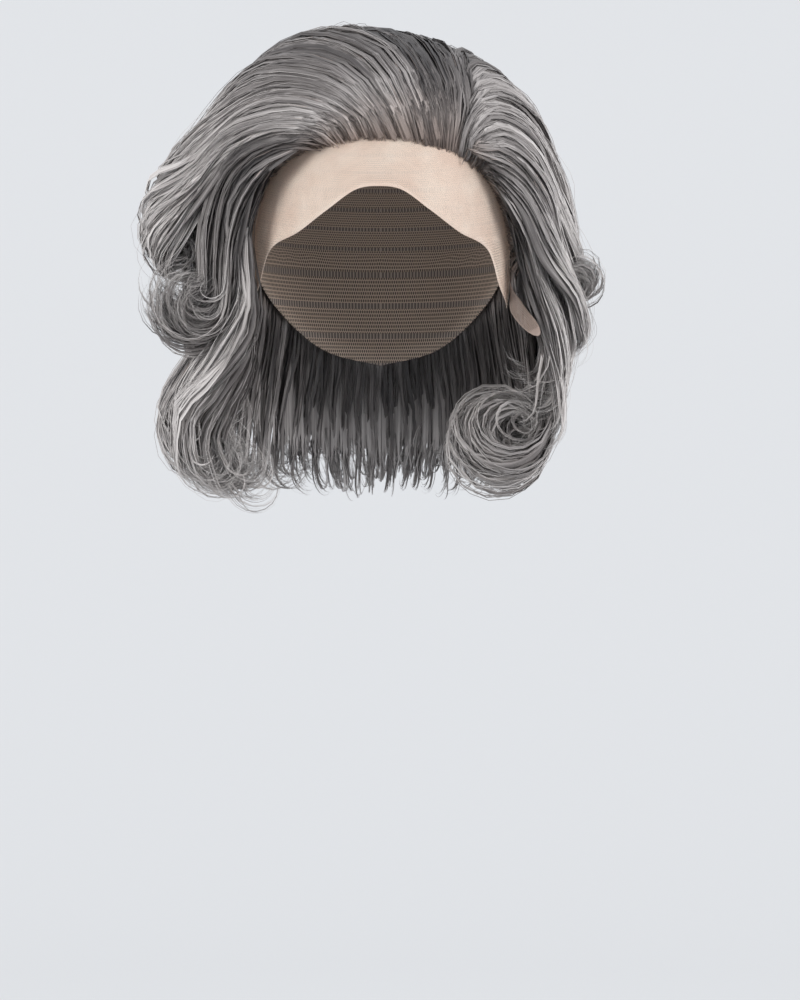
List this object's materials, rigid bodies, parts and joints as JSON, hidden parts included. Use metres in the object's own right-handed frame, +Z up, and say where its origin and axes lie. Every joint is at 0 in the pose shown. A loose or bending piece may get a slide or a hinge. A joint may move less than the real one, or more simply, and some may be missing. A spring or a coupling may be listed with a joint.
{
  "type": "lace front wig",
  "caption": "Chin-length waved wig in its worn form: net cap, sheer lace front with ear tabs, and hair swept up and back from a side parting into curls.",
  "frame": {"origin": "the point inside the cap that rests on the top of the head", "axes": "+Z up out of the head, +X to the viewer's right, and the wig faces -Y"},
  "size_m": [0.2838, 0.2385, 0.2935],
  "materials": {
    "cap": "brown stretch net with sewn wefts",
    "lace": "sheer skin-tone hexagon net",
    "hair": "mixed grey hair with a soft sheen and dark roots"
  },
  "bodies": {
    "root": {"cap": "cap", "lace_front": "lace", "hair_body": "hair", "hair_front_left": "hair", "hair_front_right": "hair", "hair_left": "hair", "hair_right": "hair", "hair_back": "hair"}
  },
  "joints": []
}
